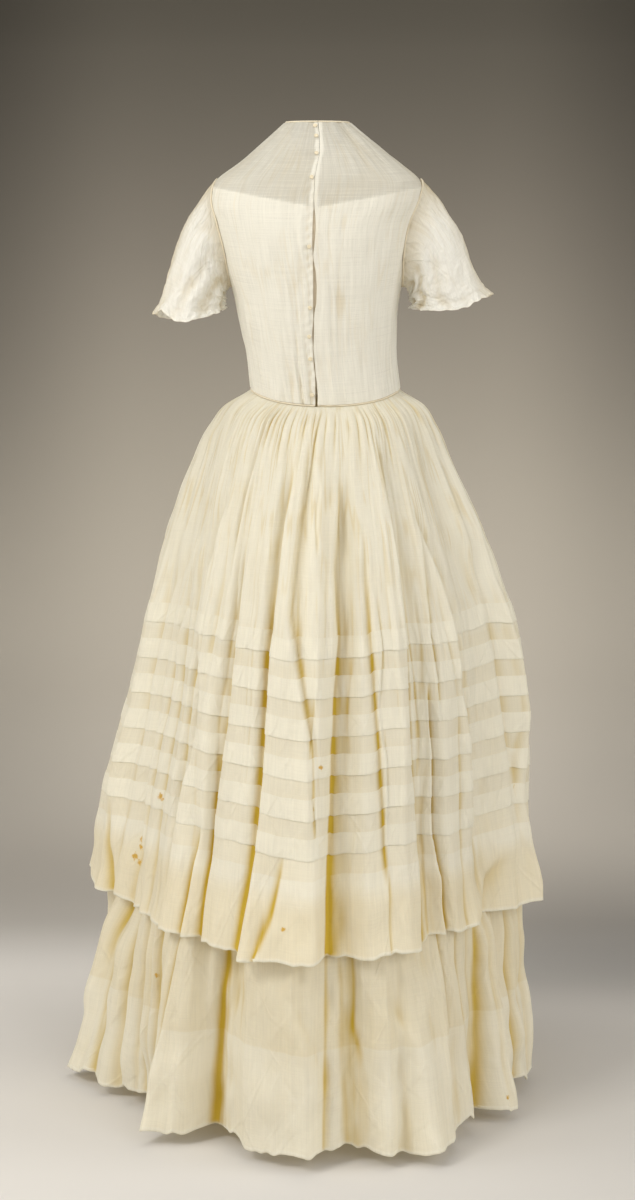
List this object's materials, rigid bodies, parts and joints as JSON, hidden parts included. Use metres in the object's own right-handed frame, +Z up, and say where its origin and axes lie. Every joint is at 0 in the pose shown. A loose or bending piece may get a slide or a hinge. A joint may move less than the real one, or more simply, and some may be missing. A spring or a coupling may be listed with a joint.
{
  "type": "afternoon dress",
  "caption": "Sheer cream cotton afternoon dress, hollow in its worn shape, with short bell sleeves, a buttoned back opening and a tucked overskirt over a longer skirt.",
  "frame": {"origin": "middle of the neck opening, level with the top of the shoulders, where the dress is held when it is worn or on a stand", "axes": "+Z up, the back of the dress with its opening faces +Y, the front faces -Y, +X is the wearer's left"},
  "size_m": [0.6653, 0.6404, 1.3345],
  "materials": {
    "sheer_cotton": "sheer, matt, finely woven",
    "lining_cotton": "matt, closely woven",
    "corded_cotton": "matt, drawn over a cord",
    "button_thread": "matt, wound thread"
  },
  "bodies": {
    "root": {"bodice_front": "sheer_cotton", "bodice_back_left": "sheer_cotton", "bodice_back_right": "sheer_cotton", "sleeve_left": "sheer_cotton", "sleeve_right": "sheer_cotton", "overskirt": "sheer_cotton", "underskirt": "sheer_cotton", "lining_front": "lining_cotton", "lining_back_left": "lining_cotton", "lining_back_right": "lining_cotton", "neck_binding": "corded_cotton", "armhole_piping_left": "corded_cotton", "armhole_piping_right": "corded_cotton", "waist_piping": "corded_cotton", "button_1": "button_thread", "button_2": "button_thread", "button_3": "button_thread", "button_4": "button_thread", "button_5": "button_thread", "button_6": "button_thread", "button_7": "button_thread", "button_8": "button_thread", "button_9": "button_thread"}
  },
  "joints": []
}
